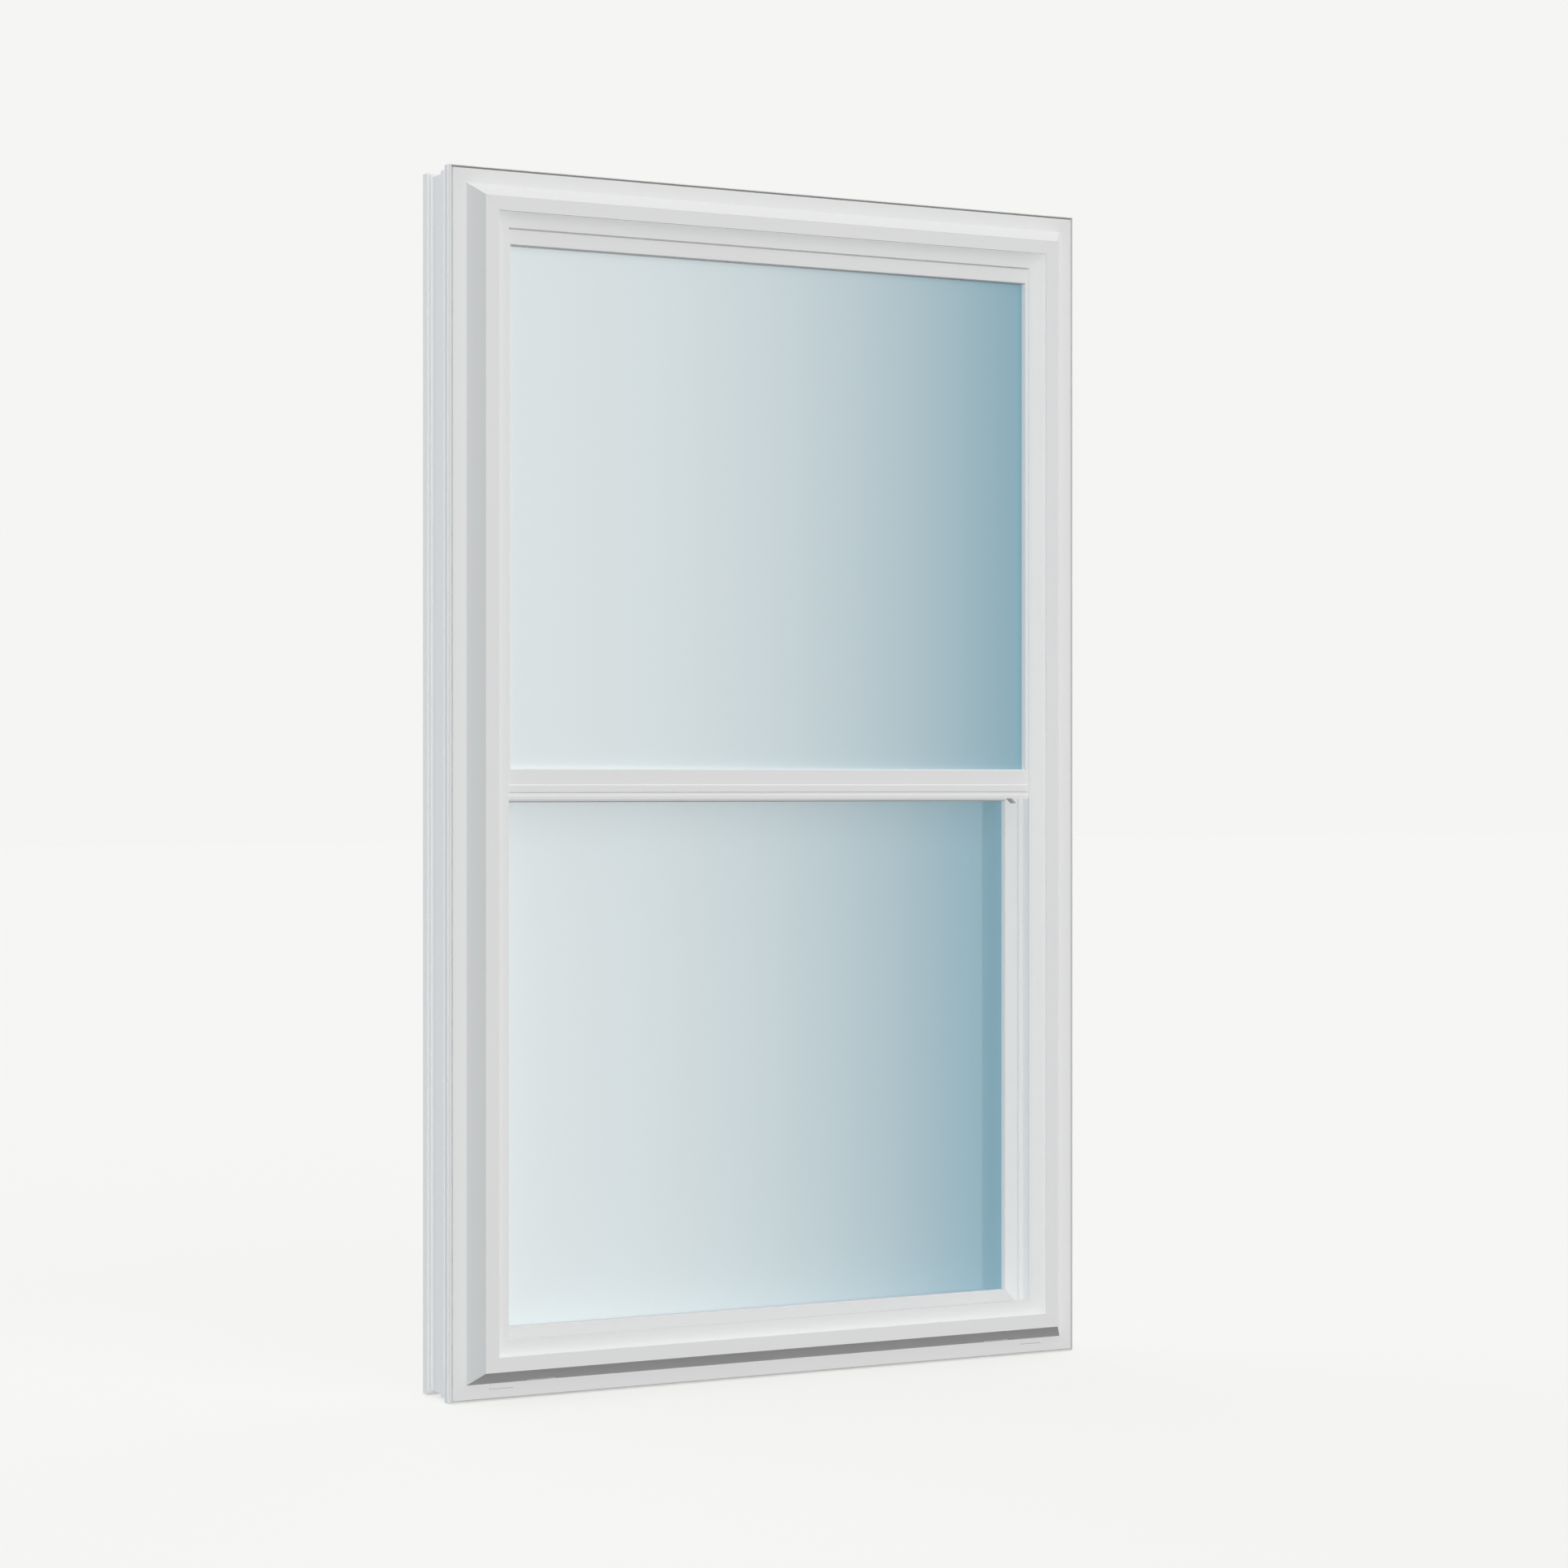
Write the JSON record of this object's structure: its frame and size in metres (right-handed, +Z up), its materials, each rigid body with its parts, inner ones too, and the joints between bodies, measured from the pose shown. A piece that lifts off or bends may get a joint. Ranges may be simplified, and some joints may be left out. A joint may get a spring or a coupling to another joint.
{
  "type": "double hung window",
  "caption": "White vinyl double hung window: mitred frame with a sloping outside casing, an upper sash in the outer track, a lower sash in the inner track, and sealed clear glass.",
  "frame": {"origin": "middle of the back face of the casing flange on the sill, where it lies against the wall", "axes": "+X to the right as seen from outdoors, +Y through the wall into the room, +Z up"},
  "size_m": [0.904, 0.1125, 1.526],
  "materials": {
    "vinyl": "satin white",
    "glass": "clear, pale blue",
    "spacer": "matt grey",
    "hardware": "white enamel"
  },
  "bodies": {
    "root": {"frame_head": "vinyl", "frame_left_jamb": "vinyl", "frame_right_jamb": "vinyl", "frame_sill": "vinyl", "lock_keeper_left": "hardware", "lock_keeper_right": "hardware", "lower_bottom_bead": "vinyl", "lower_glass_spacer": "spacer", "lower_inner_pane": "glass", "lower_left_bead": "vinyl", "lower_outer_pane": "glass", "lower_right_bead": "vinyl", "lower_sash_bottom_rail": "vinyl", "lower_sash_left_stile": "vinyl", "lower_sash_meeting_rail": "vinyl", "lower_sash_right_stile": "vinyl", "lower_top_bead": "vinyl", "sash_lock_left": "hardware", "sash_lock_right": "hardware", "tilt_latch_left": "hardware", "tilt_latch_right": "hardware", "upper_bottom_bead": "vinyl", "upper_glass_spacer": "spacer", "upper_inner_pane": "glass", "upper_left_bead": "vinyl", "upper_outer_pane": "glass", "upper_right_bead": "vinyl", "upper_sash_left_stile": "vinyl", "upper_sash_meeting_rail": "vinyl", "upper_sash_right_stile": "vinyl", "upper_sash_top_rail": "vinyl", "upper_top_bead": "vinyl", "weep_flap_left": "vinyl", "weep_flap_right": "vinyl"}
  },
  "joints": []
}
